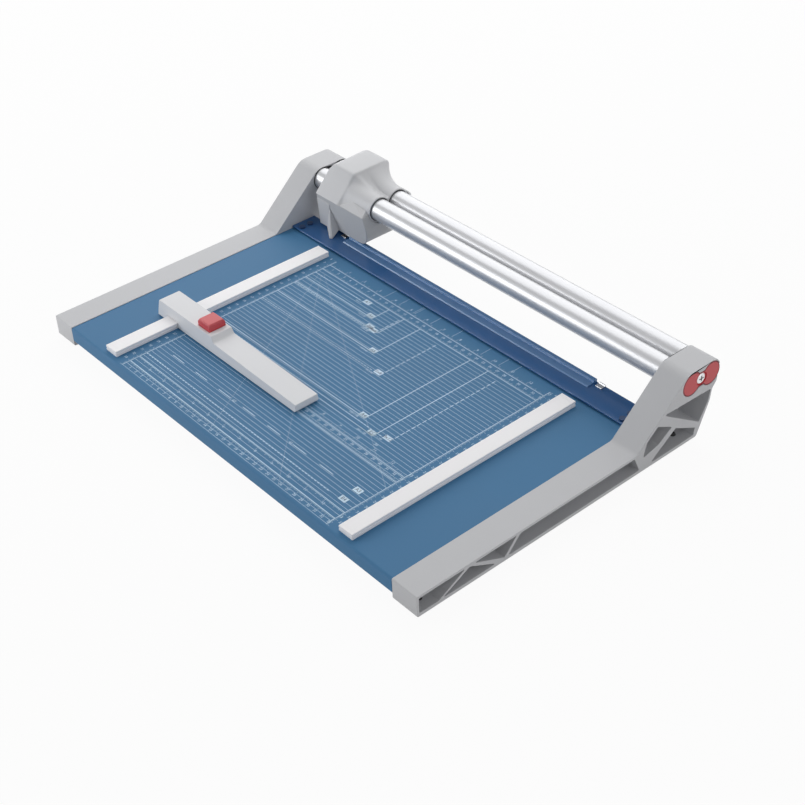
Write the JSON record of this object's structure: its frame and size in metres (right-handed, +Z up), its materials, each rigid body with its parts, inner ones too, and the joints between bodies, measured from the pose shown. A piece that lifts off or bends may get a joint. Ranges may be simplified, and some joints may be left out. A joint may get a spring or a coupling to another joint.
{
  "type": "paper trimmer",
  "caption": "Desktop rotary paper trimmer: a head with a round blade slides on twin tubes over a flat table with rulers, a clear clamp strip and a sliding back stop.",
  "frame": {"origin": "centre of the bounding box at the height of the surface that the feet stand on", "axes": "+X along the cut, from the parked head to the far side, +Y from the front edge to the back, +Z up"},
  "size_m": [0.58, 0.3964, 0.098],
  "materials": {
    "blue_enamel": "satin blue enamel on sheet steel with pale printed lines",
    "frame_grey": "light grey moulding, fine satin texture",
    "rail_aluminium": "extruded aluminium, mill finish",
    "rail_steel": "dark painted steel bar",
    "blade_steel": "hardened steel, ground",
    "screw_steel": "zinc plated steel",
    "tube_steel": "satin chromed steel tube",
    "red_plastic": "red moulding, semi gloss",
    "dark_ring": "black ring",
    "ruler_white": "white satin coated bar",
    "foot_rubber": "black rubber",
    "bright_steel": "bright steel",
    "spring_steel": "spring steel",
    "clear_blue": "clear plastic with a blue tint",
    "head_grey": "light grey moulding, satin",
    "skirt_grey": "grey moulding, satin",
    "carrier_black": "black glass filled plastic",
    "bushing_ivory": "low friction plastic",
    "stop_grey": "pale grey moulding, satin"
  },
  "bodies": {
    "base": {"table_plate": "blue_enamel", "side_frame_left": "frame_grey", "side_frame_right": "frame_grey", "front_rail": "rail_aluminium", "blade_rail": "rail_steel", "lower_blade": "blade_steel", "lower_blade_screws": "screw_steel", "guide_tube_front": "tube_steel", "guide_tube_rear": "tube_steel", "tube_cap_left": "red_plastic", "tube_cap_right": "red_plastic", "cap_screws": "screw_steel", "tube_rings": "dark_ring", "ruler_left": "ruler_white", "ruler_right": "ruler_white", "ruler_end_caps": "ruler_white", "ruler_screws": "screw_steel", "rubber_feet": "foot_rubber", "frame_screws": "screw_steel", "table_screws": "screw_steel", "strip_posts": "bright_steel", "strip_springs": "spring_steel"},
    "strip": {"clamp_strip": "clear_blue", "strip_rail": "clear_blue", "strip_clips": "bright_steel"},
    "cutting_head": {"head_hood": "head_grey", "head_skirt": "skirt_grey", "blade_carrier": "carrier_black", "bushing_left": "bushing_ivory", "bushing_right": "bushing_ivory", "presser_finger": "skirt_grey", "hood_screws": "screw_steel", "blade_axle": "bright_steel", "blade_spring": "spring_steel"},
    "cutting_blade": {"rotary_blade": "blade_steel", "blade_hub": "carrier_black"},
    "back_stop": {"stop_body": "stop_grey", "stop_cover": "carrier_black", "stop_screws": "screw_steel", "button_spring": "spring_steel"},
    "shoe": {"stop_shoe": "carrier_black"},
    "clamp_button": {"release_button": "red_plastic", "button_stem": "bright_steel"}
  },
  "joints": [
    {"name": "head_slide", "type": "slide", "parent": "base", "child": "cutting_head", "axis": [1, 0, 0], "range_m": [-0.014, 0.41]},
    {"name": "blade_spin", "type": "hinge", "parent": "cutting_head", "child": "cutting_blade", "pos_m": [-0.186, 0.13085, 0.0443], "axis": [0, 1, 0], "continuous": true},
    {"name": "strip_press", "type": "slide", "parent": "base", "child": "strip", "axis": [0, 0, -1], "range_m": [0, 0.001], "stiffness_N_per_m": 800, "springref_m": -0.0015, "deforming": ["strip_springs"]},
    {"name": "back_stop_slide", "type": "slide", "parent": "base", "child": "back_stop", "axis": [0, 1, 0], "range_m": [-0.07, 0.165]},
    {"name": "clamp_press", "type": "slide", "parent": "back_stop", "child": "clamp_button", "axis": [0, 0, -1], "range_m": [0, 0.0025], "stiffness_N_per_m": 500, "springref_m": -0.003, "deforming": ["button_spring"]},
    {"name": "shoe_slide", "type": "slide", "parent": "back_stop", "child": "shoe", "axis": [1, 0, 0], "range_m": [0, 0.0005]}
  ],
  "couplings": [
    {"joint": "blade_spin", "follows": "head_slide", "rad_per_m": 50},
    {"joint": "shoe_slide", "follows": "clamp_press", "ratio": 0.2}
  ]
}
